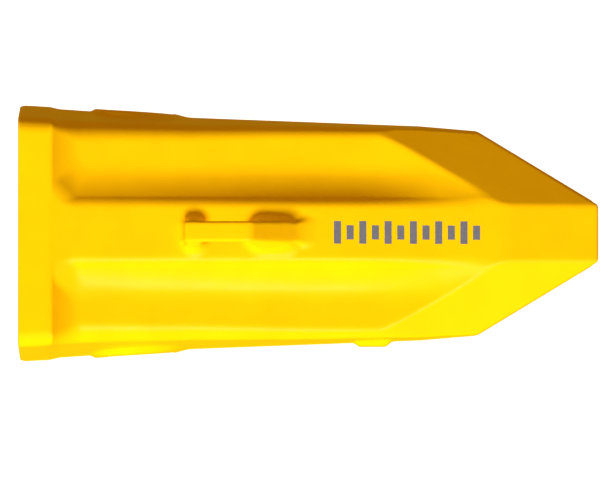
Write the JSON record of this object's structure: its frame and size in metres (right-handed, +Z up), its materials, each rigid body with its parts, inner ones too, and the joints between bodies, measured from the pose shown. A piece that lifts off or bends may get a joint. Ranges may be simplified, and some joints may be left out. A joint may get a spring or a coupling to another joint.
{
  "type": "excavator bucket tooth",
  "caption": "Wedge-shaped cast tip with fluted faces, bevelled point and lifting eye; slips over an adapter nose and is held by a cross pin and a split ring.",
  "frame": {"origin": "middle of the overall box, on the surface that the lower spine rests on", "axes": "+X towards the point, +Y across the tooth along the pin, +Z up, away from the lower spine"},
  "size_m": [0.567, 0.2428, 0.2671],
  "materials": {
    "enamelled_casting": "satin yellow enamel over an as-cast surface",
    "pin_steel": "dark phosphated, turned",
    "ring_steel": "oil-blackened spring steel"
  },
  "bodies": {
    "tip": {"tip_casting": "enamelled_casting"},
    "pin": {"retaining_pin": "pin_steel"},
    "ring": {"retainer_ring": "ring_steel"}
  },
  "joints": [
    {"name": "pin_drive", "type": "slide", "parent": "tip", "child": "pin", "axis": [0, 1, 0], "range_m": [0, 0.24], "deforming": ["retainer_ring"]},
    {"name": "ring_turn", "type": "hinge", "parent": "tip", "child": "ring", "pos_m": [-0.14364, -0.069, 0.11268], "axis": [0, 1, 0], "continuous": true}
  ]
}
